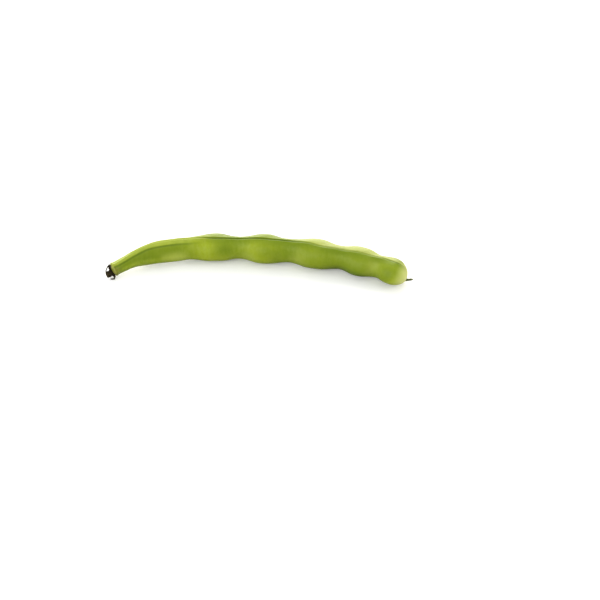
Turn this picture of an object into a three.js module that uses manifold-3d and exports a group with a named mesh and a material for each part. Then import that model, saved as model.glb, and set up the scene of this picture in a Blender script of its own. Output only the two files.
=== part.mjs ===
// Broad bean pod, lying on its lower edge, with the dried calyx at its stalk end.
// Millimetres, +Z up. The pod's length runs along X, from the stalk end at -X to the blunt end at +X,
// and it bends sideways in plan. The origin is under the middle of the whole thing, on the surface.
//
// The pod is one solid: a skin swept along a middle line, with a half height and a half thickness that
// change along it, five swellings over the beans, a double ridge along the upper seam and a low ridge
// along the lower one. The style, the small dry horn at the blunt end, is joined to it.
// The calyx is the other solid: a low base, the strands of its shrivelled sepals and the stub of the stalk.

import * as THREE from "three";
import { mergeVertices } from "three/addons/utils/BufferGeometryUtils.js";
import Module from "manifold-3d";

const wasm = await Module();
wasm.setup();

// Middle line of the pod, from the cut of the neck to the middle of the last bean
const MIDDLE_LINE = [
  [-87.7, -1.9, 4.7],
  [-80.6, 3.0, 6.0],
  [-72.8, 7.4, 7.1],
  [-64.0, 11.2, 7.7],
  [-50.0, 14.5, 7.9],
  [-32.0, 16.8, 8.2],
  [-13.0, 15.9, 8.6],
  [6.0, 14.3, 8.7],
  [24.0, 11.6, 8.6],
  [42.0, 7.8, 8.5],
  [58.0, 3.1, 8.3],
  [69.5, -1.6, 8.1],
  [78.4, -7.0, 8.1],
];

// Body between the beans: half height and half thickness at distances along the middle line
const BODY = [
  { at: 0, height: 4.3, thickness: 4.2 },
  { at: 6, height: 3.8, thickness: 3.9 },
  { at: 15, height: 4.6, thickness: 4.2 },
  { at: 24, height: 6.2, thickness: 5.6 },
  { at: 34, height: 6.9, thickness: 6.2 },
  { at: 51, height: 7.4, thickness: 5.6 },
  { at: 77, height: 8.1, thickness: 5.0 },
  { at: 107, height: 8.5, thickness: 5.5 },
  { at: 138, height: 8.3, thickness: 6.2 },
  { at: 164, height: 7.5, thickness: 5.6 },
  { at: 173, height: 7.3, thickness: 5.8 },
];

// Beans inside: where each swells the pod, over what length, and by how much each way
const BEANS = [
  { at: 64.4, length: 11.2, thickness: 3.4, height: 0.6 },
  { at: 94.5, length: 10.4, thickness: 3.5, height: 0.8 },
  { at: 126, length: 10.6, thickness: 3.1, height: 0.6 },
  { at: 153.9, length: 8.9, thickness: 3.2, height: 0.7 },
  { at: 173.7, length: 6.6, thickness: 2.8, height: 0.2 },
];
const SWELL_POWER = 2.6;

// Turn of the upper seam out of the vertical, in degrees at distances along the middle line. It leans
// towards the inside of the bend where the angle is positive
const TURN = [
  { at: 0, angle: -18 },
  { at: 13, angle: -24 },
  { at: 22, angle: -17 },
  { at: 32, angle: -11 },
  { at: 43, angle: -9 },
  { at: 51, angle: -2 },
  { at: 63, angle: 11 },
  { at: 84, angle: 11 },
  { at: 101, angle: 11 },
  { at: 118, angle: 9 },
  { at: 131, angle: 18 },
  { at: 141, angle: 18 },
  { at: 160, angle: 11 },
  { at: 169, angle: 3 },
  { at: 177, angle: -4 },
  { at: 189, angle: -34 },
];

// Ends of the skin: the neck's rounded cut, and the dome past the last bean, whose rings swing round
// towards the root of the style so that both seams run into it
const NECK_ROUNDING = 2.2;
const DOME_REACH = 9.6;
const DOME_ARC = 14.4;

// Seams: a pair of ridges with a groove between them above, and one low ridge below. The upper ridges stand
// further apart at the neck, stand higher there, and have a hollow beside them that ends with the neck
const RIDGE = { spread: 1.0, spreadAtNeck: 1.9, height: 0.2, heightAtNeck: 0.5, width: 0.55 };
const NECK_SPREADING = 30;
const NECK_END = { from: 40, to: 65 };
const GROOVE = { depth: 0.3, width: 0.5 };
const HOLLOW = { besideRidge: 1.9, depth: 0.3, width: 0.9 };
const LOWER_RIDGE = { height: 0.4, width: 0.8 };
const LOWER_HOLLOW = { beside: 2.2, depth: 0.2, width: 0.9 };

// Slight unevenness of the grown skin
const WAVES = [
  { height: 0.12, along: 0.23, around: 2, start: 0.6 },
  { height: 0.1, along: 0.41, around: 3, start: 2.9 },
];

// The style: a dry, blunt horn at the lower side of the dome
const STYLE_LINE = [
  [84.0, -7.7, 3.6],
  [86.0, -7.6, 2.4],
  [88.5, -7.4, 2.15],
  [91.0, -7.2, 2.45],
];
const STYLE_STATION = 1;
const STYLE_ROOT = 1.15;
const STYLE_TIP = 0.5;

// The calyx, in the neck end's own measures: back from it, sideways and up. A low base holds the cut stub
// of the stalk, two strands that meet above it, one that hooks down in front, and two behind. Each strand
// has a half width and a half depth at its root, and half its size at its tip
const CALYX_GAP = 0.3;
const CALYX_BASE = { line: [[-0.8, -0.2, -0.9], [1.5, -0.1, -1.0]], radius: 1.7 };
const STUB = { line: [[-0.1, 0.1, -1.0], [2.0, 0.1, -1.0], [4.2, -0.1, -0.8]], root: 1.4, tip: 2.3 };
const SEPALS = [
  {
    line: [[0.9, 0.0, -1.0], [0.8, -0.2, 1.2], [0.4, -0.7, 3.0], [0.2, -1.1, 4.6]],
    width: 0.85,
    depth: 0.7,
    tip: 0.7,
  },
  {
    line: [[0.3, -0.9, 3.9], [1.2, -0.9, 3.7], [2.2, -0.8, 2.8], [3.6, -1.0, 0.9]],
    width: 0.5,
    depth: 0.4,
    tip: 0.35,
  },
  { line: [[0.9, 0.6, -1.3], [0.2, 2.0, -2.2], [0.2, 2.9, -3.4]], width: 1.1, depth: 0.8, tip: 0.75 },
  { line: [[0.2, 2.4, -2.9], [1.0, 3.0, -3.8], [2.9, 1.8, -3.6]], width: 0.55, depth: 0.5, tip: 0.35 },
  { line: [[0.8, -0.5, -1.0], [1.0, -2.0, -1.6], [1.3, -3.4, -2.6]], width: 0.9, depth: 0.5, tip: 0.4 },
  { line: [[0.6, -0.4, -1.6], [0.5, -1.4, -3.0], [0.1, -2.0, -4.0]], width: 0.9, depth: 0.5, tip: 0.4 },
];

// Facets of the skins
const POD_FACETS = { around: 32, along: 104 };
const SEAM_CROWDING = 0.29;
const END_CROWDING = 0.09;
const SMALL_FACETS = { around: 8, along: 9 };
const STRIP_ROUNDING = 8;
const WELD = 1e-4;

const UP = new THREE.Vector3(0, 0, 1);

const podMaterial = new THREE.MeshStandardMaterial({
  name: "green skin",
  color: 0x93a43b,
  roughness: 0.42,
});
const calyxMaterial = new THREE.MeshStandardMaterial({
  name: "dried calyx",
  color: 0x2b2212,
  roughness: 0.85,
});

// A value read from a list of stations, smooth across them
function between(stations, at, key) {
  const last = stations.length - 1;
  let k = 0;
  while (k < last - 1 && stations[k + 1].at <= at) k += 1;
  const slope = (i) => {
    const a = stations[Math.max(i - 1, 0)];
    const b = stations[Math.min(i + 1, last)];
    return (b[key] - a[key]) / (b.at - a.at);
  };
  const [from, to] = [stations[k], stations[k + 1]];
  const span = to.at - from.at;
  const u = THREE.MathUtils.clamp((at - from.at) / span, 0, 1);
  const [u2, u3] = [u * u, u * u * u];
  return (2 * u3 - 3 * u2 + 1) * from[key] + (u3 - 2 * u2 + u) * span * slope(k)
    + (3 * u2 - 2 * u3) * to[key] + (u3 - u2) * span * slope(k + 1);
}

// A bell of height 1 round zero
function bell(x, width) {
  return Math.exp(-((x / width) ** 2));
}

// Closed skin: the points of a sphere, pole to pole, moved to where place(along, turn) puts them,
// with along from 0 to 1 and turn in radians from the top round the line
function skin({ around, along }, place) {
  const geometry = new THREE.SphereGeometry(1, around, along);
  const { position, uv } = geometry.attributes;
  for (let i = 0; i < position.count; i += 1) {
    const column = Math.round(uv.getX(i) * around) % around;
    const point = place(uv.getY(i), (column / around) * 2 * Math.PI);
    position.setXYZ(i, point.x, point.y, point.z);
  }
  geometry.deleteAttribute("normal");
  geometry.deleteAttribute("uv");
  return mergeVertices(geometry, WELD);
}

// Smooth line through points
function lineThrough(points) {
  const line = new THREE.CatmullRomCurve3(points.map((p) => new THREE.Vector3(...p)));
  line.arcLengthDivisions = 800;
  return line;
}

// Directions at a place on a line: up across it, turned by an angle, and out to its side
function across(line, fraction, angle) {
  const tangent = line.getTangentAt(fraction);
  const up = UP.clone().addScaledVector(tangent, -tangent.z).normalize();
  const side = new THREE.Vector3().crossVectors(tangent, up);
  const turn = THREE.MathUtils.degToRad(angle);
  const top = up.clone().multiplyScalar(Math.cos(turn)).addScaledVector(side, Math.sin(turn));
  const out = side.multiplyScalar(Math.cos(turn)).addScaledVector(up, -Math.sin(turn));
  return { tangent, top, out };
}

const podLine = lineThrough(MIDDLE_LINE);
const LINE_LENGTH = podLine.getLength();
const SKIN_LENGTH = LINE_LENGTH + DOME_ARC;

const domeMiddle = podLine.getPointAt(1);
const styleWay = new THREE.Vector3(...STYLE_LINE[STYLE_STATION]).sub(domeMiddle).normalize();
const swingToStyle = new THREE.Quaternion().setFromUnitVectors(podLine.getTangentAt(1), styleWay);

// Half height and half thickness of the pod at a distance along its middle line
function podSize(at) {
  let height = between(BODY, at, "height");
  let thickness = between(BODY, at, "thickness");
  for (const bean of BEANS) {
    const swell = Math.exp(-(Math.abs((at - bean.at) / bean.length) ** SWELL_POWER));
    height += swell * bean.height;
    thickness += swell * bean.thickness;
  }
  return { height, thickness };
}

// Height of the seams' ridges, grooves and hollows over the plain section
function seamRelief(at, sideways, upper) {
  const x = Math.abs(sideways);
  if (!upper) {
    return LOWER_RIDGE.height * bell(x, LOWER_RIDGE.width)
      - LOWER_HOLLOW.depth * bell(x - LOWER_HOLLOW.beside, LOWER_HOLLOW.width);
  }
  const { lerp, smoothstep } = THREE.MathUtils;
  const spread = lerp(RIDGE.spread, RIDGE.spreadAtNeck, Math.max(0, 1 - at / NECK_SPREADING));
  const onNeck = 1 - smoothstep(at, NECK_END.from, NECK_END.to);
  return lerp(RIDGE.height, RIDGE.heightAtNeck, onNeck) * bell(x - spread, RIDGE.width)
    - GROOVE.depth * bell(x, GROOVE.width)
    - onNeck * HOLLOW.depth * bell(x - spread - HOLLOW.besideRidge, HOLLOW.width);
}

// Point of the pod's skin, grown outwards by some margin
function podPoint(along, turn, margin = 0) {
  const at = (along - END_CROWDING * Math.sin(2 * Math.PI * along)) * SKIN_LENGTH;
  const onLine = Math.min(at, LINE_LENGTH);
  const { tangent, top, out } = across(podLine, onLine / LINE_LENGTH, between(TURN, at, "angle"));
  const { height, thickness } = podSize(onLine);
  const angle = turn - SEAM_CROWDING * Math.sin(2 * turn);
  const upward = height * Math.cos(angle);
  const sideways = thickness * Math.sin(angle);
  let lift = seamRelief(at, sideways, upward > 0) * Math.cos(angle) ** 2;
  for (const wave of WAVES) {
    lift += wave.height * Math.sin(wave.along * at + wave.around * turn + wave.start);
  }
  const grow = 1 + (lift + margin) / Math.hypot(sideways, upward);

  const dome = Math.max(0, at - LINE_LENGTH) / DOME_ARC;
  const neck = Math.sqrt(1 - (1 - Math.min(at / NECK_ROUNDING, 1)) ** 2);
  const ring = dome < 1 ? Math.cos(dome * Math.PI / 2) * neck * grow : 0;
  const ahead = DOME_REACH * Math.sin(dome * Math.PI / 2) - margin * Math.max(0, 1 - at);
  const swing = new THREE.Quaternion().slerp(swingToStyle, THREE.MathUtils.smoothstep(dome, 0, 1));
  const point = new THREE.Vector3()
    .addScaledVector(tangent, ahead)
    .addScaledVector(top, upward * ring)
    .addScaledVector(out, sideways * ring)
    .applyQuaternion(swing)
    .add(podLine.getPointAt(onLine / LINE_LENGTH));
  point.z = Math.max(point.z, 0);
  return point;
}

// Tapered, flattened and closed strip along a line, round at both ends
function strip(points, width, depth, tipWidth, tipDepth) {
  const line = lineThrough(points);
  return skin(SMALL_FACETS, (along, turn) => {
    const rounding = Math.sqrt(1 - (2 * along - 1) ** STRIP_ROUNDING);
    const { top, out } = across(line, along, 0);
    const halfWidth = THREE.MathUtils.lerp(width, tipWidth, along) * rounding;
    const halfDepth = THREE.MathUtils.lerp(depth, tipDepth, along) * rounding;
    const point = line.getPointAt(along)
      .addScaledVector(out, halfWidth * Math.sin(turn))
      .addScaledVector(top, halfDepth * Math.cos(turn));
    point.z = Math.max(point.z, 0);
    return point;
  });
}

function solid(geometry) {
  const vertProperties = Float32Array.from(geometry.attributes.position.array);
  const triVerts = Uint32Array.from(geometry.index.array);
  return new wasm.Manifold(new wasm.Mesh({ numProp: 3, vertProperties, triVerts }));
}

function geometryOf(body) {
  const { vertProperties, triVerts } = body.getMesh();
  const geometry = new THREE.BufferGeometry();
  geometry.setAttribute("position", new THREE.BufferAttribute(Float32Array.from(vertProperties), 3));
  geometry.setIndex(new THREE.BufferAttribute(Uint32Array.from(triVerts), 1));
  return geometry;
}

function makePod() {
  const style = strip(STYLE_LINE, STYLE_ROOT, STYLE_ROOT, STYLE_TIP, STYLE_TIP);
  const body = solid(skin(POD_FACETS, podPoint)).add(solid(style));
  const pod = new THREE.Mesh(geometryOf(body), podMaterial);
  pod.name = "pod";
  return pod;
}

// Places given back from the neck's end, sideways and up, as points of the drawing
function fromNeckEnd(places) {
  const { tangent, top, out } = across(podLine, 0, 0);
  return places.map(([back, sideways, up]) => podLine.getPointAt(0)
    .addScaledVector(tangent, -back)
    .addScaledVector(out, sideways)
    .addScaledVector(top, up)
    .toArray());
}

function makeCalyx() {
  const { line, radius } = CALYX_BASE;
  let body = solid(strip(fromNeckEnd(line), radius, radius, radius, radius));
  body = body.add(solid(strip(fromNeckEnd(STUB.line), STUB.root, STUB.root, STUB.tip, STUB.tip)));
  for (const sepal of SEPALS) {
    const { width, depth, tip } = sepal;
    body = body.add(solid(strip(fromNeckEnd(sepal.line), width, depth, tip, tip)));
  }
  const room = solid(skin(POD_FACETS, (along, turn) => podPoint(along, turn, CALYX_GAP)));
  const calyx = new THREE.Mesh(geometryOf(body.subtract(room)), calyxMaterial);
  calyx.name = "dried_calyx";
  return calyx;
}

const beanPod = new THREE.Group();
beanPod.add(makePod(), makeCalyx());

const box = new THREE.Box3().setFromObject(beanPod, true);
const middle = box.getCenter(new THREE.Vector3());
beanPod.position.set(-middle.x, -middle.y, -box.min.z);

export default beanPod;
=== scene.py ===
"""Looks of the broad bean pod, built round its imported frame.

The pod's skin is swept along a middle line, as in the part's source, with far more facets and a finer relief,
and it stands for the frame's pod. The style at the blunt end and the shrivelled calyx at the stalk end are
pieces of their own. Sizes of the forms are in millimetres, and the finished meshes are in metres.
"""

import logging
import math
from dataclasses import dataclass, field
from enum import Enum

import bmesh
import bpy
import numpy as np
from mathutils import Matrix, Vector, noise


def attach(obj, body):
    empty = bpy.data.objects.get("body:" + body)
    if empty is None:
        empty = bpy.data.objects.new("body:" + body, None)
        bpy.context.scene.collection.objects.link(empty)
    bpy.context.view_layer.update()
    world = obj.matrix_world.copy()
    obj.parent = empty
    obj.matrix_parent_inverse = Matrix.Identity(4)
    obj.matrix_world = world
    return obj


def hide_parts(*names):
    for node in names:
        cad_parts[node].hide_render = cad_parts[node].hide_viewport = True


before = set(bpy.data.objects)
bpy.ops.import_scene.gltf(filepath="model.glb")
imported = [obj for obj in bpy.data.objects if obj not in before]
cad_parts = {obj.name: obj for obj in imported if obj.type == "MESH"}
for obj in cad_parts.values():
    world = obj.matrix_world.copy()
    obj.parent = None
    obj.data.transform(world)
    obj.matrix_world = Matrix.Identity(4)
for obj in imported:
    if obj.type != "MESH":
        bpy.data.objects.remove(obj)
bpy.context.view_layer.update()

Point = tuple[float, float, float]
Colour = tuple[float, float, float]
Span = tuple[float, float]
Patch = tuple[float, float, float, float, float]
Socket = bpy.types.NodeSocket

MM = 0.001
BODY = "root"
WELD = 1e-7
SMALL_STEP = 1e-4
NOISE_REACH = 1.6

# From the origin of the pod's drawing to the frame's, in millimetres
SHIFT = np.array((0.32, -4.712, 0.0))

log = logging.getLogger("bean_pod")


class Mark(Enum):
    """Measures kept on the pod's vertices for its finish."""

    ALONG = "along_mm"
    UPPER = "from_upper_seam_mm"
    LOWER = "from_lower_seam_mm"
    LEVEL = "level_on_the_section"
    SIDE = "side_of_the_seam"
    SWELL = "bean_swell"
    BEAK = "near_style"


class Slot(Enum):
    """Names of two material slots."""

    SKIN = "pod_skin"
    DRY = "dried_calyx"


def bell(x: np.ndarray, width: float) -> np.ndarray:
    """Return a bell of height 1 round zero."""
    return np.exp(-((x / width) ** 2))


def smoothstep(x: np.ndarray) -> np.ndarray:
    """Return a smooth step from 0 to 1 over x from 0 to 1."""
    u = np.clip(x, 0, 1)
    return u * u * (3 - 2 * u)


def rising(x: np.ndarray, span: Span) -> np.ndarray:
    """Return a smooth step from 0 to 1 over a span of x."""
    start, end = span
    return smoothstep((x - start) / (end - start))


def colour(red: int, green: int, blue: int) -> Colour:
    """Return the scene's linear colour for one given as it looks on a screen, 0 to 255."""
    screen = (red, green, blue)
    return tuple(((c / 255 + 0.055) / 1.055) ** 2.4 if c > 10 else c / 255 / 12.92 for c in screen)


def rough(points: np.ndarray, scale: float, stretch: Point = (1, 1, 1)) -> np.ndarray:
    """Return smooth unevenness from about -1 to 1 at points.

    Args:
        points: Places in millimetres.
        scale: Size of one lump, in millimetres.
        stretch: How much longer the lumps are along each axis.

    Returns:
        One value a point.
    """
    cells = points / (scale * np.array(stretch))
    return np.array([noise.noise(Vector(cell)) for cell in cells]) * NOISE_REACH


class SmoothLine:
    """A smooth line through points, whose places are shares of its length."""

    def __init__(self, points: tuple[Point, ...], divisions: int = 800) -> None:
        """Measure the line.

        Args:
            points: The points that it passes through.
            divisions: Steps over which its length is measured.
        """
        p = np.array(points, float)
        self._spans = len(p) - 1
        self._knots = np.vstack([2 * p[0] - p[1], p, 2 * p[-1] - p[-2]])
        self._shares = np.linspace(0, 1, divisions + 1)
        steps = np.linalg.norm(np.diff(self._raw(self._shares), axis=0), axis=1)
        self._lengths = np.concatenate([[0.0], np.cumsum(steps)])
        self.length = float(self._lengths[-1])

    def _raw(self, share: np.ndarray) -> np.ndarray:
        """Return points at shares of the line's spans."""
        place = np.clip(share, 0, 1) * self._spans
        k = np.minimum(place.astype(int), self._spans - 1)
        w = (place - k)[:, None]
        p0, p1, p2, p3 = (self._knots[k + i] for i in range(4))
        d0, d1, d2 = (
            np.sum((b - a) ** 2, axis=1)[:, None] ** 0.25 for a, b in ((p0, p1), (p1, p2), (p2, p3))
        )
        leave = ((p1 - p0) / d0 - (p2 - p0) / (d0 + d1) + (p2 - p1) / d1) * d1
        arrive = ((p2 - p1) / d1 - (p3 - p1) / (d1 + d2) + (p3 - p2) / d2) * d1
        square = -3 * p1 + 3 * p2 - 2 * leave - arrive
        cube = 2 * p1 - 2 * p2 + leave + arrive
        return p1 + leave * w + square * w**2 + cube * w**3

    def _share(self, fraction: np.ndarray) -> np.ndarray:
        """Return shares of the spans for fractions of the length."""
        return np.interp(fraction * self.length, self._lengths, self._shares)

    def point(self, fraction: np.ndarray) -> np.ndarray:
        """Return the points at fractions of the length."""
        return self._raw(self._share(fraction))

    def across(self, fraction: np.ndarray, degrees: np.ndarray) -> tuple[np.ndarray, np.ndarray, np.ndarray]:
        """Return directions at places on the line.

        Args:
            fraction: Places, as fractions of the length.
            degrees: Turn of the upward direction out of the vertical.

        Returns:
            The direction along the line, the one up across it, and the one out to its side.
        """
        share = self._share(fraction)
        tangent = self._raw(share + SMALL_STEP) - self._raw(share - SMALL_STEP)
        tangent /= np.linalg.norm(tangent, axis=1)[:, None]
        up = np.array((0.0, 0.0, 1.0)) - tangent * tangent[:, 2:]
        up /= np.linalg.norm(up, axis=1)[:, None]
        side = np.cross(tangent, up)
        turn = np.radians(degrees)[:, None]
        top = up * np.cos(turn) + side * np.sin(turn)
        out = side * np.cos(turn) - up * np.sin(turn)
        return tangent, top, out


class Stations:
    """Values at distances along the pod, smooth between them."""

    def __init__(self, *stations: tuple[float, float]) -> None:
        """Keep the stations, each a distance and a value."""
        self._at, self._values = np.array(stations, float).T

    def read(self, at: np.ndarray) -> np.ndarray:
        """Return the values at distances."""
        x, y = self._at, self._values
        last = len(x) - 1
        order = np.arange(last + 1)
        before = np.maximum(order - 1, 0)
        after = np.minimum(order + 1, last)
        slopes = (y[after] - y[before]) / (x[after] - x[before])
        k = np.clip(np.searchsorted(x, at, side="right") - 1, 0, last - 1)
        span = x[k + 1] - x[k]
        u = np.clip((at - x[k]) / span, 0, 1)
        return (
            (2 * u**3 - 3 * u**2 + 1) * y[k]
            + (u**3 - 2 * u**2 + u) * span * slopes[k]
            + (3 * u**2 - 2 * u**3) * y[k + 1]
            + (u**3 - u**2) * span * slopes[k + 1]
        )


def sphere_skin(around: int, along: int) -> tuple[bmesh.types.BMesh, np.ndarray, np.ndarray]:
    """Start a closed skin from a sphere.

    Args:
        around: Facets round it.
        along: Facets from pole to pole.

    Returns:
        The sphere, and for each vertex its place from pole to pole, 0 to 1, and its turn in radians.
    """
    skin = bmesh.new()
    bmesh.ops.create_uvsphere(skin, u_segments=around, v_segments=along, radius=1.0)
    x, y, z = np.array([vertex.co for vertex in skin.verts], float).T
    return skin, np.arctan2(np.hypot(x, y), z) / math.pi, np.arctan2(y, x)


def move_to(skin: bmesh.types.BMesh, points: np.ndarray) -> None:
    """Put a skin's vertices at points given in the drawing's millimetres, and make it face outwards."""
    for vertex, point in zip(skin.verts, (points + SHIFT) * MM):
        vertex.co = point
    bmesh.ops.remove_doubles(skin, verts=skin.verts, dist=WELD)
    bmesh.ops.recalc_face_normals(skin, faces=skin.faces)


def new_piece(name: str, skin: bmesh.types.BMesh, material: bpy.types.Material) -> bpy.types.Object:
    """Make an object of a finished skin.

    Args:
        name: The piece's name.
        skin: Its mesh, which is freed.
        material: Its finish.

    Returns:
        The object, in the scene, at the origin.
    """
    mesh = bpy.data.meshes.new(name)
    skin.to_mesh(mesh)
    skin.free()
    mesh.shade_smooth()
    mesh.materials.append(material)
    piece = bpy.data.objects.new(name, mesh)
    bpy.context.scene.collection.objects.link(piece)
    return piece


class Nodes:
    """Adds nodes to a shader tree and joins them."""

    def __init__(self, tree: bpy.types.NodeTree) -> None:
        """Keep the tree."""
        self.tree = tree

    def add(self, kind: str, **settings: object) -> bpy.types.Node:
        """Add a node of a kind, with its settings."""
        node = self.tree.nodes.new(kind)
        for name, value in settings.items():
            setattr(node, name, value)
        return node

    def feed(self, node: bpy.types.Node, **values: object) -> None:
        """Set or join a node's inputs, named with underscores for spaces."""
        for name, value in values.items():
            self.join(value, node.inputs[name.replace("_", " ")])

    def join(self, value: object, target: Socket) -> None:
        """Set an input to a number or a colour, or join a socket to it."""
        if isinstance(value, bpy.types.NodeSocket):
            self.tree.links.new(value, target)
        elif target.type == "RGBA" and len(value) == 3:
            target.default_value = (*value, 1.0)
        else:
            target.default_value = value

    def mark(self, mark: Mark) -> Socket:
        """Read a measure that the piece's vertices keep."""
        return self.add("ShaderNodeAttribute", attribute_name=mark.value).outputs["Fac"]

    def place(self) -> Socket:
        """Read places on the piece, in metres."""
        return self.add("ShaderNodeTexCoord").outputs["Object"]

    def stretched(self, place: Socket, stretch: Point) -> Socket:
        """Return places with a pattern's axes scaled by stretch."""
        mapping = self.add("ShaderNodeMapping")
        self.feed(mapping, Vector=place, Scale=stretch)
        return mapping.outputs["Vector"]

    def lumps(self, place: Socket, size_mm: float, detail: float) -> Socket:
        """Return smooth unevenness, 0 to 1, with lumps of about a size."""
        texture = self.add("ShaderNodeTexNoise")
        self.feed(texture, Vector=place, Scale=1 / (size_mm * MM), Detail=detail)
        return texture.outputs["Fac"]

    def ramp(self, value: Socket, start: float, end: float, low: float = 0.0, high: float = 1.0) -> Socket:
        """Return low before start, high after end, and a smooth change between."""
        node = self.add("ShaderNodeMapRange", interpolation_type="SMOOTHSTEP")
        self.feed(node, Value=value, From_Min=start, From_Max=end, To_Min=low, To_Max=high)
        return node.outputs["Result"]

    def combine(self, operation: str, first: object, second: object = 0.0) -> Socket:
        """Return the result of a Math node's operation."""
        node = self.add("ShaderNodeMath", operation=operation)
        self.join(first, node.inputs[0])
        self.join(second, node.inputs[1])
        return node.outputs["Value"]

    def times(self, *factors: object) -> Socket:
        """Return the product of factors."""
        product = factors[0]
        for factor in factors[1:]:
            product = self.combine("MULTIPLY", product, factor)
        return product

    def comes(self, value: Socket, span: Span) -> Socket:
        """Return 0 before a span, 1 after it, and a smooth change over it."""
        return self.ramp(value, *span)

    def goes(self, value: Socket, span: Span) -> Socket:
        """Return 1 before a span, 0 after it, and a smooth change over it."""
        return self.ramp(value, *span, 1.0, 0.0)

    def between(self, value: Socket, start: Span, end: Span) -> Socket:
        """Return 1 from after one span to before another, and 0 outside them."""
        return self.times(self.comes(value, start), self.goes(value, end))

    def band(self, value: Socket, middle: float, width: float) -> Socket:
        """Return 1 where a value is at the middle, falling smoothly to 0 at width from it."""
        away = self.combine("ABSOLUTE", self.combine("SUBTRACT", value, middle))
        return self.ramp(away, 0.0, width, 1.0, 0.0)

    def blend(self, share: object, under: object, over: object) -> Socket:
        """Return a colour with another laid over it."""
        node = self.add("ShaderNodeMix", data_type="RGBA")
        for name, value in (("Factor_Float", share), ("A_Color", under), ("B_Color", over)):
            self.join(value, next(s for s in node.inputs if s.identifier == name))
        return next(s for s in node.outputs if s.identifier == "Result_Color")

    def bump(self, height: Socket, depth_mm: float, strength: float = 1.0) -> Socket:
        """Return normals bent by a height, 0 to 1, over a depth."""
        node = self.add("ShaderNodeBump")
        self.feed(node, Strength=strength, Distance=depth_mm * MM, Height=height)
        return node.outputs["Normal"]


class PlantGrain:
    """Shader group with the unevenness that all the plant's surfaces share."""

    name = "plant grain"

    def tree(self) -> bpy.types.NodeTree:
        """Return the group, which is built once.

        Returns:
            The group: its input Size is the size of the fine lumps in metres, and its outputs are Cloud,
            soft patches ten lumps wide, Mottle, the fine lumps, and Fleck, scattered small marks.
        """
        if self.name in bpy.data.node_groups:
            return bpy.data.node_groups[self.name]
        tree = bpy.data.node_groups.new(self.name, "ShaderNodeTree")
        for name, kind in (("Place", "NodeSocketVector"), ("Size", "NodeSocketFloat")):
            tree.interface.new_socket(name, in_out="INPUT", socket_type=kind)
        for name in ("Cloud", "Mottle", "Fleck"):
            tree.interface.new_socket(name, in_out="OUTPUT", socket_type="NodeSocketFloat")
        nodes = Nodes(tree)
        given = nodes.add("NodeGroupInput")
        result = nodes.add("NodeGroupOutput")
        fine = nodes.combine("DIVIDE", 1.0, given.outputs["Size"])
        for name, share, detail, start, end in (
            ("Cloud", 0.1, 2.0, 0.3, 0.7),
            ("Mottle", 1.0, 4.0, 0.25, 0.75),
            ("Fleck", 1.7, 1.0, 0.66, 0.76),
        ):
            texture = nodes.add("ShaderNodeTexNoise")
            scale = nodes.times(fine, share)
            nodes.feed(texture, Vector=given.outputs["Place"], Scale=scale, Detail=detail)
            nodes.join(nodes.ramp(texture.outputs["Fac"], start, end), result.inputs[name])
        return tree

    def use(self, nodes: Nodes, place: Socket, size_mm: float) -> dict[str, Socket]:
        """Place the group in a material.

        Args:
            nodes: The material's nodes.
            place: Places on the piece, in metres.
            size_mm: Size of its fine lumps.

        Returns:
            Its outputs by name.
        """
        group = nodes.add("ShaderNodeGroup", node_tree=self.tree())
        nodes.feed(group, Place=place, Size=size_mm * MM)
        return {socket.name: socket for socket in group.outputs}


def new_material(name: str) -> tuple[bpy.types.Material, Nodes, bpy.types.Node]:
    """Start a material.

    Args:
        name: Its name.

    Returns:
        The material, its nodes and its shader.
    """
    material = bpy.data.materials.new(name)
    material.use_nodes = True
    tree = material.node_tree
    return material, Nodes(tree), next(n for n in tree.nodes if n.type == "BSDF_PRINCIPLED")


class SkinMarks:
    """The measures that the skin's finish reads, as sockets of its material."""

    def __init__(self, nodes: Nodes, seam_blur: Span) -> None:
        """Read the marks.

        Args:
            nodes: The material's nodes.
            seam_blur: The turns of the section over which the far side gives way to the near one.
        """
        self.along = nodes.mark(Mark.ALONG)
        self.upper = nodes.mark(Mark.UPPER)
        self.lower = nodes.mark(Mark.LOWER)
        self.level = nodes.mark(Mark.LEVEL)
        self.swell = nodes.mark(Mark.SWELL)
        self.beak = nodes.mark(Mark.BEAK)
        self.near_side = nodes.comes(nodes.mark(Mark.SIDE), seam_blur)
        self.far_side = nodes.combine("SUBTRACT", 1.0, self.near_side)


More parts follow.
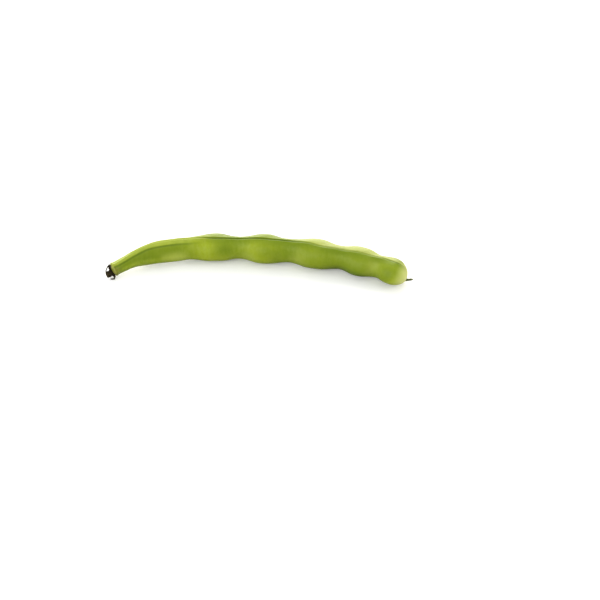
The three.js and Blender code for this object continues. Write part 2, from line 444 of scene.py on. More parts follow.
@dataclass(frozen=True)
class SkinFinish:
    """Satin green skin: cloudy green, paler over the beans with painted light, with a pale neck seam, a dark
    groove, and patches and broad shades of painted light and painted shade.

    Distances along the pod and from its seams are in millimetres. Levels are 1 at the upper seam and -1 at
    the lower one. A shade comes or goes over a span of them, and its strength is its share of the colour.
    """

    deep: Colour = colour(117, 138, 12)
    fresh: Colour = colour(151, 165, 22)
    pale: Colour = colour(176, 186, 80)
    # Painted light on the far side
    far: Colour = colour(166, 170, 108)
    shade: Colour = colour(72, 96, 6)
    # Painted shade: laid on the near side, the far side's upper level, the dull patches and beside the groove
    dull: Colour = colour(94, 116, 6)
    # Painted shade on the neck's flanks
    neck: Colour = colour(98, 118, 10)
    # Painted shade low on the near side
    under: Colour = colour(82, 98, 8)
    neck_end: Colour = colour(112, 100, 40)
    rim: Colour = colour(158, 158, 84)
    # Painted light on the blunt end
    tip: Colour = colour(200, 204, 122)
    fleck: Colour = colour(112, 112, 36)

    roughness: Span = (0.48, 0.37)
    gloss: float = 0.26
    sheen: Colour = (0.95, 1.0, 0.6)
    coat: float = 0.02
    coat_roughness: float = 0.3
    scatter: float = 0.12
    scatter_mm: float = 1.2
    scatter_tint: Colour = (0.8, 1.0, 0.25)

    grain_mm: float = 1.5
    vein_mm: float = 1.6
    vein_stretch: Point = (1.0, 0.3, 0.3)
    vein_contrast: Span = (0.35, 0.7)
    vein_strength: float = 0.16
    cloud_strength: float = 0.45
    # Painted light: how much paler the beans' swellings are made
    swell_light_strength: float = 0.5
    mottle_strength: float = 0.14
    fleck_strength: float = 0.2

    seam_blur: Span = (-0.1, 0.1)
    # Painted shade over the near side, from about 84 to 180 mm
    near_shade_comes: Span = (84, 122)
    near_shade_goes: Span = (170, 180)
    near_shade_strength: float = 0.5
    # Painted light on the far side towards the blunt end, on its upper level
    far_light_comes: Span = (86, 136)
    far_light_level: Span = (0.2, 0.8)
    far_light_strength: float = 0.5
    # Painted shade on the far side's upper level, from about 30 to 140 mm
    far_shade_comes: Span = (30, 60)
    far_shade_goes: Span = (80, 140)
    far_shade_level: Span = (-0.2, 0.4)
    far_shade_strength: float = 0.6
    # Painted shade low on the near side, from about 124 to 163 mm
    under_shade_comes: Span = (124, 142)
    under_shade_goes: Span = (154, 163)
    under_shade_level: Span = (-0.6, 0.3)
    under_shade_strength: float = 0.9

    neck_goes: Span = (34, 62)
    # Painted shade on the neck's flanks
    flank_level: Span = (-0.45, 0.1)
    flank_from_seam: Span = (2.8, 3.8)
    flank_shade_strength: float = 0.7
    # The neck's painted light on its shoulder and painted shade in its hollow: middle and width, from the
    # upper seam
    shoulder: Span = (2.4, 1.2)
    shoulder_light_strength: float = 0.3
    hollow: Span = (3.9, 1.1)
    hollow_shade_strength: float = 0.65

    # Soft patches of painted light (pale) and painted shade (dull) on each side: where along, how long, at
    # what level, how high, and how strong
    patch_drift: float = 4.0
    light_patches: tuple[Patch, ...] = (
        (41, 12, -0.3, 0.8, 0.6),
        (85, 9, -0.1, 0.9, 0.3),
        (117, 9, 0.0, 0.9, 0.35),
        (164, 9, 0.4, 0.9, 0.4),
        (179, 8, -0.8, 0.8, 0.5),
    )
    shade_patches: tuple[Patch, ...] = (
        (70, 11, 0.6, 0.9, 0.75),
        (98, 12, 0.6, 0.9, 0.5),
        (150, 10, -0.4, 1.3, 0.8),
        (175, 5, 0.4, 1.0, 0.6),
    )

    pale_seam_width: float = 2.9
    pale_seam_grows: Span = (6, 30)
    pale_seam_strength: Span = (0.3, 0.8)
    pale_seam_goes: Span = (50, 68)
    crease_width: float = 1.1
    crease_comes: Span = (48, 66)
    crease_softens: Span = (102, 132)
    crease_strength: Span = (0.9, 0.25)
    crease_returns: Span = (168, 174)
    crease_return_strength: float = 0.4
    # The shadow beside the groove on the near side: middle and width, from the upper seam
    seam_shadow: Span = (1.0, 4.5)
    seam_shadow_strength: float = 0.6
    lower_seam_width: float = 1.0
    lower_seam_strength: float = 0.3

    # Painted light on the blunt end
    tip_light_comes: Span = (177, 184)
    beak_strength: float = 0.8
    worn_goes: Span = (1.5, 6.5)
    worn_raggedness: float = 2.0
    worn_level: Span = (0.0, 0.8)
    worn_strength: Span = (0.7, 0.15)
    rim_place: Span = (0.7, 0.8)
    rim_strength: float = 0.6

    pore_mm: float = 0.35
    pore_height: float = 0.4
    fine_vein_mm: float = 0.9
    fine_vein_stretch: Point = (1.0, 0.35, 0.35)
    fine_vein_height: float = 0.6
    mottle_height: float = 0.8
    relief_mm: float = 0.06

    def material(self) -> bpy.types.Material:
        """Return the skin's material."""
        material, nodes, shader = new_material("pod skin")
        place = nodes.place()
        grain = PlantGrain().use(nodes, place, self.grain_mm)
        nodes.feed(
            shader,
            Base_Color=self._colours(nodes, place, grain),
            Roughness=nodes.ramp(grain["Mottle"], 0.0, 1.0, *self.roughness),
            Specular_IOR_Level=self.gloss,
            Specular_Tint=self.sheen,
            Coat_Weight=self.coat,
            Coat_Roughness=self.coat_roughness,
            Subsurface_Weight=self.scatter,
            Subsurface_Radius=self.scatter_tint,
            Subsurface_Scale=self.scatter_mm * MM,
            Normal=self._relief(nodes, place, grain),
        )
        return material

    def _colours(self, nodes: Nodes, place: Socket, grain: dict[str, Socket]) -> Socket:
        """Return the skin's colour, laid on from the body to the seams and ends."""
        marks = SkinMarks(nodes, self.seam_blur)
        base = self._body(nodes, place, grain, marks)
        base = self._sides(nodes, marks, base)
        base = self._neck_flank(nodes, marks, base)
        base = self._patches(nodes, grain, marks, base)
        base = self._seams(nodes, marks, base)
        return self._ends(nodes, grain, marks, base)

    def _body(self, nodes: Nodes, place: Socket, grain: dict[str, Socket], marks: SkinMarks) -> Socket:
        """Return the colour of the plain skin: clouds, swellings made paler with painted light, veins, mottle
        and flecks.
        """
        veins = nodes.lumps(nodes.stretched(place, self.vein_stretch), self.vein_mm, detail=3.0)
        clouds = nodes.times(grain["Cloud"], self.cloud_strength)
        # Painted light: the swellings are laid towards the fresh green
        bloom = nodes.combine("ADD", clouds, nodes.times(marks.swell, self.swell_light_strength))
        base = nodes.blend(bloom, self.deep, self.fresh)
        vein_share = nodes.times(nodes.comes(veins, self.vein_contrast), self.vein_strength)
        base = nodes.blend(vein_share, base, self.pale)
        base = nodes.blend(nodes.times(grain["Mottle"], self.mottle_strength), base, self.pale)
        return nodes.blend(nodes.times(grain["Fleck"], self.fleck_strength), base, self.fleck)

    def _sides(self, nodes: Nodes, marks: SkinMarks, base: Socket) -> Socket:
        """Lay on the broad painted light and painted shade of the near and the far side, and the painted
        shade low on the near side.
        """
        # Painted shade over the near side
        near_shade = nodes.times(nodes.between(marks.along, self.near_shade_comes, self.near_shade_goes), marks.near_side)
        base = nodes.blend(nodes.times(near_shade, self.near_shade_strength), base, self.dull)

        # Painted light on the far side towards the blunt end
        far_light = nodes.times(nodes.comes(marks.along, self.far_light_comes), marks.far_side)
        far_light = nodes.times(far_light, nodes.comes(marks.level, self.far_light_level))
        base = nodes.blend(nodes.times(far_light, self.far_light_strength), base, self.far)

        # Painted shade on the far side's upper level
        far_shade = nodes.between(marks.along, self.far_shade_comes, self.far_shade_goes)
        far_shade = nodes.times(far_shade, marks.far_side, nodes.comes(marks.level, self.far_shade_level))
        base = nodes.blend(nodes.times(far_shade, self.far_shade_strength), base, self.dull)

        # Painted shade low on the near side
        low = nodes.between(marks.along, self.under_shade_comes, self.under_shade_goes)
        low = nodes.times(low, nodes.goes(marks.level, self.under_shade_level), marks.near_side)
        return nodes.blend(nodes.times(low, self.under_shade_strength), base, self.under)

    def _neck_flank(self, nodes: Nodes, marks: SkinMarks, base: Socket) -> Socket:
        """Lay on the painted shade of the neck's flanks, the painted light on its shoulder and the painted
        shade in its hollow.
        """
        on_neck = nodes.goes(marks.along, self.neck_goes)
        # Painted shade on the neck's flanks
        flank = nodes.times(
            nodes.comes(marks.level, self.flank_level), nodes.comes(marks.upper, self.flank_from_seam)
        )
        base = nodes.blend(nodes.times(on_neck, flank, self.flank_shade_strength), base, self.neck)
        # Painted light on the neck's shoulder
        shoulder = nodes.times(nodes.band(marks.upper, *self.shoulder), on_neck, self.shoulder_light_strength)
        base = nodes.blend(shoulder, base, self.pale)
        # Painted shade in the neck's hollow
        hollow = nodes.times(nodes.band(marks.upper, *self.hollow), on_neck, self.hollow_shade_strength)
        return nodes.blend(hollow, base, self.shade)

    def _patches(self, nodes: Nodes, grain: dict[str, Socket], marks: SkinMarks, base: Socket) -> Socket:
        """Lay on the soft patches of painted light and painted shade, whose edges drift with the clouds."""
        wander = nodes.times(nodes.combine("SUBTRACT", grain["Cloud"], 0.5), self.patch_drift)
        drift = nodes.combine("ADD", marks.along, wander)
        # Painted light in the pale patches, painted shade in the dull ones
        for patches, tone in ((self.light_patches, self.pale), (self.shade_patches, self.dull)):
            for middle, reach, level, height, strength in patches:
                inside = nodes.times(nodes.band(drift, middle, reach), nodes.band(marks.level, level, height))
                base = nodes.blend(nodes.times(inside, strength), base, tone)
        return base

    def _seams(self, nodes: Nodes, marks: SkinMarks, base: Socket) -> Socket:
        """Lay on the pale seam of the neck, the dark groove past it, its shadow, and the lower seam."""
        pale = nodes.band(marks.upper, 0.0, self.pale_seam_width)
        pale = nodes.times(pale, nodes.ramp(marks.along, *self.pale_seam_grows, *self.pale_seam_strength))
        base = nodes.blend(nodes.times(pale, nodes.goes(marks.along, self.pale_seam_goes)), base, self.pale)

        past_neck = nodes.comes(marks.along, self.crease_comes)
        soft = nodes.ramp(marks.along, *self.crease_softens, *self.crease_strength)
        back = nodes.ramp(marks.along, *self.crease_returns, 0.0, self.crease_return_strength)
        crease = nodes.times(past_neck, nodes.combine("ADD", soft, back))
        crease = nodes.times(crease, nodes.band(marks.upper, 0.0, self.crease_width))
        base = nodes.blend(crease, base, self.shade)

        shadow = nodes.times(nodes.band(marks.upper, *self.seam_shadow), past_neck, marks.near_side)
        base = nodes.blend(nodes.times(shadow, self.seam_shadow_strength), base, self.dull)
        lower = nodes.times(nodes.band(marks.lower, 0.0, self.lower_seam_width), self.lower_seam_strength)
        return nodes.blend(lower, base, self.pale)

    def _ends(self, nodes: Nodes, grain: dict[str, Socket], marks: SkinMarks, base: Socket) -> Socket:
        """Lay on the painted light of the pale blunt end, the brown round the style, and the worn end and rim
        of the neck.
        """
        # Painted light on the blunt end
        base = nodes.blend(nodes.comes(marks.along, self.tip_light_comes), base, self.tip)
        base = nodes.blend(nodes.times(marks.beak, self.beak_strength), base, self.fleck)
        worn = nodes.combine("ADD", marks.along, nodes.times(grain["Mottle"], self.worn_raggedness))
        low = nodes.ramp(marks.level, *self.worn_level, *self.worn_strength)
        base = nodes.blend(nodes.times(nodes.goes(worn, self.worn_goes), low), base, self.neck_end)
        rim = nodes.times(nodes.band(marks.along, *self.rim_place), self.rim_strength)
        return nodes.blend(rim, base, self.rim)

    def _relief(self, nodes: Nodes, place: Socket, grain: dict[str, Socket]) -> Socket:
        """Return the skin's fine relief: pores, and faint veins across its length."""
        pores = nodes.lumps(place, self.pore_mm, detail=3.0)
        veins = nodes.lumps(nodes.stretched(place, self.fine_vein_stretch), self.fine_vein_mm, detail=2.0)
        height = nodes.times(pores, self.pore_height)
        height = nodes.combine("ADD", height, nodes.times(veins, self.fine_vein_height))
        height = nodes.combine("ADD", height, nodes.times(grain["Mottle"], self.mottle_height))
        return nodes.bump(height, self.relief_mm)


@dataclass(frozen=True)
class DryFinish:
    """Dead plant matter: dull and dark, with paler worn fibres."""

    name: str
    dark: Colour
    mid: Colour
    worn: Colour
    roughness: Span = (0.85, 0.7)
    gloss: float = 0.2
    grain_mm: float = 0.5
    fleck_strength: float = 0.7
    cloud_strength: float = 0.3
    relief_mm: float = 0.12

    def material(self) -> bpy.types.Material:
        """Return the dry matter's material."""
        material, nodes, shader = new_material(self.name)
        place = nodes.place()
        grain = PlantGrain().use(nodes, place, self.grain_mm)
        base = nodes.blend(grain["Mottle"], self.dark, self.mid)
        base = nodes.blend(nodes.times(grain["Fleck"], self.fleck_strength), base, self.worn)
        base = nodes.blend(nodes.times(grain["Cloud"], self.cloud_strength), base, self.worn)
        nodes.feed(
            shader,
            Base_Color=base,
            Specular_IOR_Level=self.gloss,
            Roughness=nodes.ramp(grain["Mottle"], 0.0, 1.0, *self.roughness),
            Normal=nodes.bump(grain["Mottle"], self.relief_mm),
        )
        return material


CALYX_FINISH = DryFinish("dried calyx", colour(14, 9, 2), colour(34, 25, 6), colour(88, 76, 24))
STYLE_FINISH = DryFinish("dried style", colour(58, 62, 34), colour(90, 96, 58), colour(132, 138, 90))


@dataclass(frozen=True)
class SeamRelief:
    """The seams' ridges, groove and hollows over the plain section, in millimetres.

    The upper ridges stand further apart at the neck and higher, with a hollow beside them. Past the neck a
    fine cut deepens the groove, and towards the blunt end all of it grows smoother.
    """

    spread: float = 1.0
    wider_at_neck: float = 0.9
    neck_spreading: float = 30
    neck_end: Span = (40, 65)
    ridge: float = 0.12
    ridge_at_neck: float = 0.5
    ridge_width: float = 0.55
    hollow: float = 0.3
    hollow_beside: float = 1.9
    hollow_width: float = 0.9
    groove: float = 0.3
    groove_width: float = 0.5
    cut: float = 0.15
    cut_width: float = 0.25
    smoother: Span = (102, 132)
    ridge_loss: float = 0.06
    groove_loss: float = 0.12
    cut_loss: float = 0.8
    lower_ridge: float = 0.4
    lower_ridge_width: float = 0.8
    lower_hollow: float = 0.2
    lower_hollow_beside: float = 2.2
    lower_hollow_width: float = 0.9

    def height(self, at: np.ndarray, sideways: np.ndarray, upper: np.ndarray) -> np.ndarray:
        """Return the relief's height.

        Args:
            at: Distances along the pod.
            sideways: Distances from the middle of the section.
            upper: Whether each place is on the section's upper half.

        Returns:
            One height a place.
        """
        x = np.abs(sideways)
        spread = self.spread + self.wider_at_neck * np.maximum(0, 1 - at / self.neck_spreading)
        past_neck = rising(at, self.neck_end)
        smoother = rising(at, self.smoother)
        ridge = self.ridge_at_neck + (self.ridge - self.ridge_at_neck) * past_neck
        ridge = ridge - self.ridge_loss * smoother
        groove = (self.groove - self.groove_loss * smoother) * bell(x, self.groove_width)
        hollow = self.hollow * (1 - past_neck) * bell(x - spread - self.hollow_beside, self.hollow_width)
        cut = self.cut * past_neck * (1 - self.cut_loss * smoother) * bell(x, self.cut_width)
        above = ridge * bell(x - spread, self.ridge_width) - groove - hollow - cut
        below = self.lower_ridge * bell(x, self.lower_ridge_width)
        below = below - self.lower_hollow * bell(x - self.lower_hollow_beside, self.lower_hollow_width)
        return np.where(upper, above, below)


@dataclass(frozen=True)
class GrownRelief:
    """The grown unevenness that the frame leaves out, in millimetres."""

    dent: float = 0.09
    dent_size: float = 7.0
    ripple: float = 0.035
    ripple_size: float = 2.2
    ripple_stretch: Point = (1, 2.5, 2.5)
    ripple_off_beans: float = 1.2
    # The neck's rim and the waist behind it: height or depth, place along, and width
    rim: Point = (0.14, 1.7, 0.9)
    waist: Point = (0.12, 4.2, 1.6)
    # The neck's shoulder and hollow: height or depth, distance from the upper seam, and width
    shoulder: Point = (0.1, 2.6, 0.9)
    hollow: Point = (0.2, 4.0, 0.8)
    neck_start: Span = (0, 8)
    neck_end: Span = (30, 50)
    sunk: float = 0.18

    def height(self, points: np.ndarray, at: np.ndarray, swell: np.ndarray) -> np.ndarray:
        """Return soft dents, ripples and the neck's rim, all sunk so as to stay in the frame's box."""
        dents = self.dent * rough(points, self.dent_size)
        ripples = self.ripple * rough(points, self.ripple_size, self.ripple_stretch)
        rim, waist = (depth * bell(at - place, width) for depth, place, width in (self.rim, self.waist))
        return dents + ripples * (self.ripple_off_beans - swell) + rim - waist - self.sunk

    def on_neck(self, at: np.ndarray, from_upper: np.ndarray) -> np.ndarray:
        """Return the long hollow down each side of the neck, and the shoulder above it."""
        shoulder, hollow = (
            depth * bell(from_upper - place, width) for depth, place, width in (self.shoulder, self.hollow)
        )
        return rising(at, self.neck_start) * (1 - rising(at, self.neck_end)) * (shoulder - hollow)


@dataclass
class Pod:
    """The pod's skin, as in the part's source, with a finer relief."""

    middle_line: tuple[Point, ...] = (
        (-87.7, -1.9, 4.7),
        (-80.6, 3.0, 6.0),
        (-72.8, 7.4, 7.1),
        (-64.0, 11.2, 7.7),
        (-50.0, 14.5, 7.9),
        (-32.0, 16.8, 8.2),
        (-13.0, 15.9, 8.6),
        (6.0, 14.3, 8.7),
        (24.0, 11.6, 8.6),
        (42.0, 7.8, 8.5),
        (58.0, 3.1, 8.3),
        (69.5, -1.6, 8.1),
        (78.4, -7.0, 8.1),
    )
    height: Stations = field(
        default_factory=lambda: Stations(
            (0, 4.3), (6, 3.8), (15, 4.6), (24, 6.2), (34, 6.9), (51, 7.4), (77, 8.1), (107, 8.5),
            (138, 8.3), (164, 7.5), (173, 7.3),
        )
    )
    thickness: Stations = field(
        default_factory=lambda: Stations(
            (0, 4.2), (6, 3.9), (15, 4.2), (24, 5.6), (34, 6.2), (51, 5.6), (77, 5.0), (107, 5.5),
            (138, 6.2), (164, 5.6), (173, 5.8),
        )
    )
    turn: Stations = field(
        default_factory=lambda: Stations(
            (0, -18), (13, -24), (22, -17), (32, -11), (43, -9), (51, -2), (63, 11), (84, 11),
            (101, 11), (118, 9), (131, 18), (141, 18), (160, 11), (169, 3), (177, -4), (189, -34),
        )
    )
    # Each bean: where it swells the pod, over what length, and by how much in thickness and height
    beans: tuple[tuple[float, float, float, float], ...] = (
        (64.4, 11.2, 3.4, 0.6),
        (94.5, 10.4, 3.5, 0.8),
        (126, 10.6, 3.1, 0.6),
        (153.9, 8.9, 3.2, 0.7),
        (173.7, 6.6, 2.8, 0.2),
    )
    swell_power: float = 2.6
    neck_rounding: float = 2.2
    dome_reach: float = 9.6
    dome_arc: float = 14.4
    style_root: Point = (86.0, -7.6, 2.4)
    beak_height: float = 0.5
    beak_width: float = 1.8
    seam_crowding: float = 0.29
    end_crowding: float = 0.09
    # Each wave of the grown skin: its height, how fast it runs along and around, and where it starts
    waves: tuple[tuple[float, float, float, float], ...] = ((0.12, 0.23, 2, 0.6), (0.1, 0.41, 3, 2.9))
    around: int = 144
    along: int = 560
    seams: SeamRelief = SeamRelief()
    grown: GrownRelief = GrownRelief()
    finish: SkinFinish = SkinFinish()

    def build(self) -> bpy.types.Object:
        """Build the pod's skin and dress it.

        Returns:
            The piece that stands for the frame's pod.
        """
        skin, along, turn = sphere_skin(self.around, self.along)
        points, marks = self._place(along, turn)
        layers = {mark: skin.verts.layers.float.new(mark.value) for mark in Mark}
        for mark, layer in layers.items():
            for vertex, value in zip(skin.verts, marks[mark]):
                vertex[layer] = value
        move_to(skin, points)
        piece = new_piece("pod_with_skin", skin, self.finish.material())
        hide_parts("pod")
        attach(piece, BODY)
        return piece

    def _place(self, along: np.ndarray, turn: np.ndarray) -> tuple[np.ndarray, dict[Mark, np.ndarray]]:
        """Place the skin's vertices.

        Args:
            along: Each vertex's place from the stalk end to the blunt end, 0 to 1.
            turn: Its turn in radians, from the upper seam round the middle line.

        Returns:
            The vertices' points in millimetres, and their marks.
        """
        line = SmoothLine(self.middle_line)
        at = (along - self.end_crowding * np.sin(2 * math.pi * along)) * (line.length + self.dome_arc)
        on_line = np.minimum(at, line.length)
        share = on_line / line.length
        tangent, top, out = line.across(share, self.turn.read(at))
        height, thickness, swell = self._size(on_line)
        angle = turn - self.seam_crowding * np.sin(2 * turn)
        upward = height * np.cos(angle)
        sideways = thickness * np.sin(angle)
        lift = self.seams.height(at, sideways, upward > 0) * np.cos(angle) ** 2
        for high, runs_along, runs_around, start in self.waves:
            lift += high * np.sin(runs_along * at + runs_around * turn + start)
        plain = line.point(share) + top * upward[:, None] + out * sideways[:, None]
        from_upper = thickness * np.abs(angle)
        lift += self.grown.height(plain, at, swell) + self.grown.on_neck(at, from_upper)
        grow = 1 + lift / np.hypot(sideways, upward)

        dome = np.maximum(0, at - line.length) / self.dome_arc
        neck = np.sqrt(1 - (1 - np.minimum(at / self.neck_rounding, 1)) ** 2)
        ring = np.where(dome < 1, np.cos(dome * math.pi / 2), 0) * neck * grow
        ahead = self.dome_reach * np.sin(dome * math.pi / 2)
        offset = tangent * ahead[:, None] + top * (upward * ring)[:, None] + out * (sideways * ring)[:, None]
        points = line.point(share) + self._swing(line, offset, smoothstep(dome))
        points, beak = self._beak(line, points)
        points[:, 2] = np.maximum(points[:, 2], 0)

        return points, {
            Mark.ALONG: at,
            Mark.UPPER: from_upper,
            Mark.LOWER: thickness * math.pi - from_upper,
            Mark.LEVEL: np.cos(angle),
            Mark.SIDE: np.sin(angle),
            Mark.SWELL: swell,
            Mark.BEAK: beak,
        }

    def _size(self, at: np.ndarray) -> tuple[np.ndarray, np.ndarray, np.ndarray]:
        """Return half height, half thickness and the beans' swelling, 0 to 1, at distances."""
        height = self.height.read(at)
        thickness = self.thickness.read(at)
        total = np.zeros_like(at)
        for middle, length, thicker, higher in self.beans:
            swell = np.exp(-(np.abs((at - middle) / length) ** self.swell_power))
            height = height + swell * higher
            thickness = thickness + swell * thicker
            total = total + swell
        return height, thickness, total

    def _swing(self, line: SmoothLine, offset: np.ndarray, share: np.ndarray) -> np.ndarray:
        """Return offsets from the last bean, swung by shares of the turn towards the style's root."""
        end = np.array([1.0])
        forward = line.across(end, np.zeros(1))[0][0]
        way = np.array(self.style_root) - line.point(end)[0]
        way /= np.linalg.norm(way)
        axis = np.cross(forward, way)
        turn = math.atan2(np.linalg.norm(axis), forward @ way) * share[:, None]
        axis /= np.linalg.norm(axis)
        level = (offset @ axis)[:, None] * axis
        return offset * np.cos(turn) + np.cross(axis, offset) * np.sin(turn) + level * (1 - np.cos(turn))

    def _beak(self, line: SmoothLine, points: np.ndarray) -> tuple[np.ndarray, np.ndarray]:
        """Draw the skin out a little round the style's root.

        Args:
            line: The pod's middle line.
            points: The skin's points.

        Returns:
            The moved points, and how near each is to the style, 0 to 1.
        """
        root = np.array(self.style_root)
        way = root - line.point(np.array([1.0]))[0]
        way /= np.linalg.norm(way)
        near = bell(np.linalg.norm(points - root, axis=1), self.beak_width)
        return points + way * (near * self.beak_height)[:, None], near

    def from_neck_end(self, places: tuple[Point, ...]) -> tuple[Point, ...]:
        """Return points of the drawing for places given back from the neck's end, sideways and up."""
        line = SmoothLine(self.middle_line)
        start = np.array([0.0])
        tangent, up, side = (way[0] for way in line.across(start, start))
        axes = np.array((-tangent, side, up))
        return tuple(tuple(line.point(start)[0] + np.array(place) @ axes) for place in places)


@dataclass(frozen=True)
class Strip:
    """A tapered, flattened strip of dry plant along a line, in millimetres.

    The higher its rounding, the squarer its ends are cut.
    """

    line: tuple[Point, ...]
    width: float
    depth: float
    tip: float
    rounding: float = 8
    around: int = 40
    along: int = 80
    ragged: float = 0.25
    lump: float = 1.1

    def skin(self) -> bmesh.types.BMesh:
        """Return the strip as a closed skin."""
        skin, along, turn = sphere_skin(self.around, self.along)
        line = SmoothLine(self.line)
        _, top, out = line.across(along, np.zeros_like(along))
        middle = line.point(along)
        round_end = np.sqrt(np.maximum(0, 1 - (2 * along - 1) ** self.rounding))
        uneven = 1 + self.ragged * rough(middle + out * np.sin(turn)[:, None] * self.width, self.lump)
        half_width = (self.width + (self.tip - self.width) * along) * round_end * uneven
        half_depth = (self.depth + (self.tip - self.depth) * along) * round_end * uneven
        sideways = out * (half_width * np.sin(turn))[:, None]
        points = middle + sideways + top * (half_depth * np.cos(turn))[:, None]
        points[:, 2] = np.maximum(points[:, 2], 0)
        move_to(skin, points)
        return skin


@dataclass
class Style:
    """The style: a dry, blunt horn at the blunt end."""

    strip: Strip = Strip(
        line=((84.0, -7.7, 3.6), (86.0, -7.6, 2.4), (88.5, -7.4, 2.15), (91.0, -7.2, 2.45)),
        width=1.15,
        depth=1.15,
        tip=0.5,
        around=48,
        along=120,
        ragged=0.12,
        lump=0.8,
    )
    finish: DryFinish = STYLE_FINISH

    def build(self) -> bpy.types.Object:
        """Build the style and dress it.

        Returns:
            The piece.
        """
        piece = new_piece("dry_style", self.strip.skin(), self.finish.material())
        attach(piece, BODY)
        return piece


@dataclass
class Calyx:
    """The shrivelled calyx: a low base, the stub of the stalk and the strands of its sepals.

    Its lines are given in the neck end's own measures: back from it, sideways and up, in millimetres.
    """

    pod: Pod
    base_line: tuple[Point, ...] = ((-0.8, -0.2, -0.9), (1.5, -0.1, -1.0))
    base_radius: float = 1.7
    stub_line: tuple[Point, ...] = ((-0.1, 0.1, -1.0), (2.0, 0.1, -1.0), (3.9, -0.1, -0.8))
    stub_root: float = 1.4
    stub_tip: float = 2.3
    stub_cut: float = 24
    # Each strand: its line, its half width and half depth at the root, and half its size at the tip
    sepals: tuple[tuple[tuple[Point, ...], float, float, float], ...] = (
        (((0.9, 0.0, -1.0), (0.8, -0.2, 1.2), (0.4, -0.7, 3.0), (0.2, -1.1, 4.6)), 0.85, 0.7, 0.7),
        (((0.3, -0.9, 3.9), (1.2, -0.9, 3.7), (2.2, -0.8, 2.8), (3.6, -1.0, 0.9)), 0.5, 0.4, 0.35),
        (((0.9, 0.6, -1.3), (0.2, 2.0, -2.2), (0.2, 2.9, -3.4)), 1.1, 0.8, 0.75),
        (((0.2, 2.4, -2.9), (1.0, 3.0, -3.8), (2.9, 1.8, -3.6)), 0.55, 0.5, 0.35),
        (((0.8, -0.5, -1.0), (1.0, -2.0, -1.6), (1.3, -3.4, -2.6)), 0.9, 0.5, 0.4),
        (((0.6, -0.4, -1.6), (0.5, -1.4, -3.0), (0.1, -2.0, -4.0)), 0.9, 0.5, 0.4),
    )
    voxel_mm: float = 0.1
    wrinkle_mm: float = 0.08
    wrinkle_size: float = 0.9
    fine_wrinkle_size: float = 0.4
    fine_wrinkle_share: float = 0.5
    fine_wrinkle_offset: float = 7
    shrinking: float = 0.6
    finish: DryFinish = CALYX_FINISH

    def build(self) -> bpy.types.Object:
        """Build the calyx as one shrivelled skin and dress it.

        Returns:
            The piece that stands for the frame's calyx.
        """
        piece = new_piece("shrivelled_calyx", self._strips(), self.finish.material())
        self._fuse(piece)
        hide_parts("dried_calyx")
        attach(piece, BODY)
        return piece

    def _strips(self) -> bmesh.types.BMesh:
        """Return all the calyx's strips in one mesh."""
        place = self.pod.from_neck_end
        radius = self.base_radius
        strips = [
            Strip(place(self.base_line), radius, radius, radius, ragged=0.06),
            Strip(place(self.stub_line), self.stub_root, self.stub_root, self.stub_tip, self.stub_cut),
        ]
        strips += [Strip(place(line), width, depth, tip) for line, width, depth, tip in self.sepals]
        whole = bmesh.new()
        for strip in strips:
            part = strip.skin()
            mesh = bpy.data.meshes.new("strip")
            part.to_mesh(mesh)
            part.free()
            whole.from_mesh(mesh)
            bpy.data.meshes.remove(mesh)
        return whole

    def _fuse(self, piece: bpy.types.Object) -> None:
        """Fuse the strips into one skin, and wrinkle it."""
        remesh = piece.modifiers.new("fuse", "REMESH")
        remesh.mode = "VOXEL"
        remesh.voxel_size = self.voxel_mm * MM
        fused = bpy.data.meshes.new_from_object(piece.evaluated_get(bpy.context.evaluated_depsgraph_get()))
        piece.modifiers.clear()
        piece.data = fused
        skin = bmesh.new()
        skin.from_mesh(fused)
        points = np.array([vertex.co for vertex in skin.verts], float) / MM
        wrinkles = rough(points, self.wrinkle_size)
        fine = self.fine_wrinkle_share * rough(points + self.fine_wrinkle_offset, self.fine_wrinkle_size)
        depth = self.wrinkle_mm * (wrinkles + fine - self.shrinking)
        for vertex, shift in zip(skin.verts, depth * MM):
            vertex.co += vertex.normal * shift
            vertex.co.z = max(vertex.co.z, 0)
        skin.to_mesh(fused)
        skin.free()
        fused.shade_smooth()


@dataclass(frozen=True)
class SoftLight:
    """A wide, soft studio light from one side, even over the whole floor."""

    name: str
    towards: Point
    spread: float
    strength: float
    tint: Colour = (1.0, 1.0, 1.0)

    def build(self) -> None:
        """Hang the light in its direction, given from the pod."""
        lamp = bpy.data.lights.new(self.name, "SUN")
        lamp.angle = math.radians(self.spread)
        lamp.energy = self.strength
        lamp.color = self.tint
        light = bpy.data.objects.new(self.name, lamp)
        light.location = self.towards
        light.rotation_euler = (-Vector(self.towards)).to_track_quat("-Z", "Y").to_euler()
        bpy.context.scene.collection.objects.link(light)


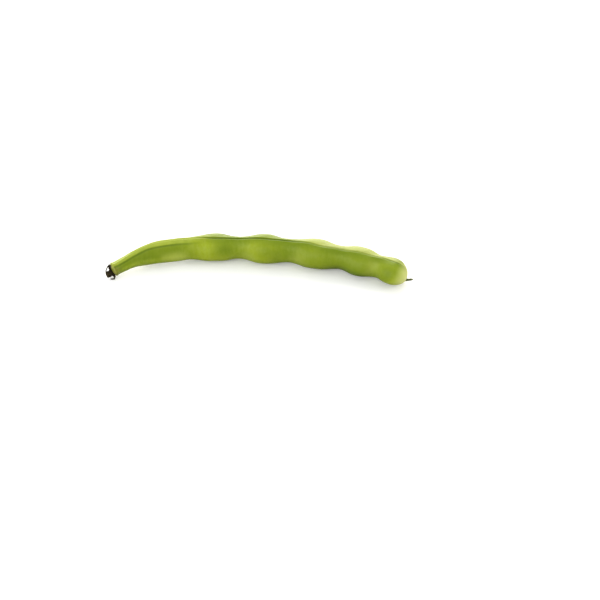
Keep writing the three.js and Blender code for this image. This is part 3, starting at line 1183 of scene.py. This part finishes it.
@dataclass
class Studio:
    """Camera, lights and plain floor."""

    camera_place: Point = (24.0, -714.0, 539.0)
    look_down: float = 38.0
    lens: float = 90.0
    sensor: float = 36.0
    sky: float = 0.55
    floor_side: float = 12.0
    floor_drop: float = 0.00005
    floor_white: float = 0.9
    floor_glow: float = 0.16
    floor_bounce: float = 0.5
    floor_roughness: float = 0.7
    lights: tuple[SoftLight, ...] = (
        SoftLight("overhead light", (0.0, 0.2, 1.0), 80, 0.6),
        SoftLight("back light", (-0.2, 1.0, 0.5), 60, 3.9, (1.0, 0.95, 0.84)),
        SoftLight("right light", (1.0, -0.1, 0.35), 50, 1.5),
        SoftLight("front light", (-0.7, -0.75, 0.3), 60, 2.1),
    )

    def build(self) -> None:
        """Build the whole studio."""
        self._camera()
        self._sky()
        self._floor()
        for light in self.lights:
            light.build()
        view = bpy.context.scene.view_settings
        view.view_transform = "Standard"
        view.look = "None"

    def _camera(self) -> None:
        """Place the camera as the photograph's stood."""
        data = bpy.data.cameras.new("camera")
        data.lens = self.lens
        data.sensor_width = self.sensor
        camera = bpy.data.objects.new("camera", data)
        camera.location = (np.array(self.camera_place) + SHIFT) * MM
        camera.rotation_euler = (math.radians(90 - self.look_down), 0, 0)
        bpy.context.scene.collection.objects.link(camera)
        bpy.context.scene.camera = camera

    def _sky(self) -> None:
        """Give the room its even light."""
        world = bpy.data.worlds.new("white room")
        world.use_nodes = True
        nodes = Nodes(world.node_tree)
        background = next(n for n in world.node_tree.nodes if n.type == "BACKGROUND")
        seen = nodes.add("ShaderNodeLightPath").outputs["Is Camera Ray"]
        nodes.feed(background, Color=(1, 1, 1), Strength=nodes.ramp(seen, 0.0, 1.0, self.sky, 1.0))
        bpy.context.scene.world = world

    def _floor(self) -> None:
        """Lay the plain pale floor."""
        material, nodes, shader = new_material("white floor")
        seen = nodes.add("ShaderNodeLightPath").outputs["Is Camera Ray"]
        nodes.feed(
            shader,
            Base_Color=nodes.blend(seen, (self.floor_bounce,) * 3, (self.floor_white,) * 3),
            Roughness=self.floor_roughness,
            Emission_Color=nodes.blend(seen, (0, 0, 0), (1, 1, 1)),
            Emission_Strength=self.floor_glow,
        )
        sheet = bmesh.new()
        bmesh.ops.create_grid(sheet, x_segments=1, y_segments=1, size=self.floor_side / 2)
        bmesh.ops.translate(sheet, verts=sheet.verts, vec=(0, 0, -self.floor_drop))
        new_piece("floor", sheet, material)


def main() -> None:
    """Build the pod's pieces and the studio, and report each piece."""
    logging.basicConfig(level=logging.INFO, format="%(name)s: %(message)s")
    pod = Pod()
    for piece in (pod.build(), Style().build(), Calyx(pod).build()):
        log.info("%s: %d faces", piece.name, len(piece.data.polygons))
    Studio().build()


if __name__ == "__main__":
    main()
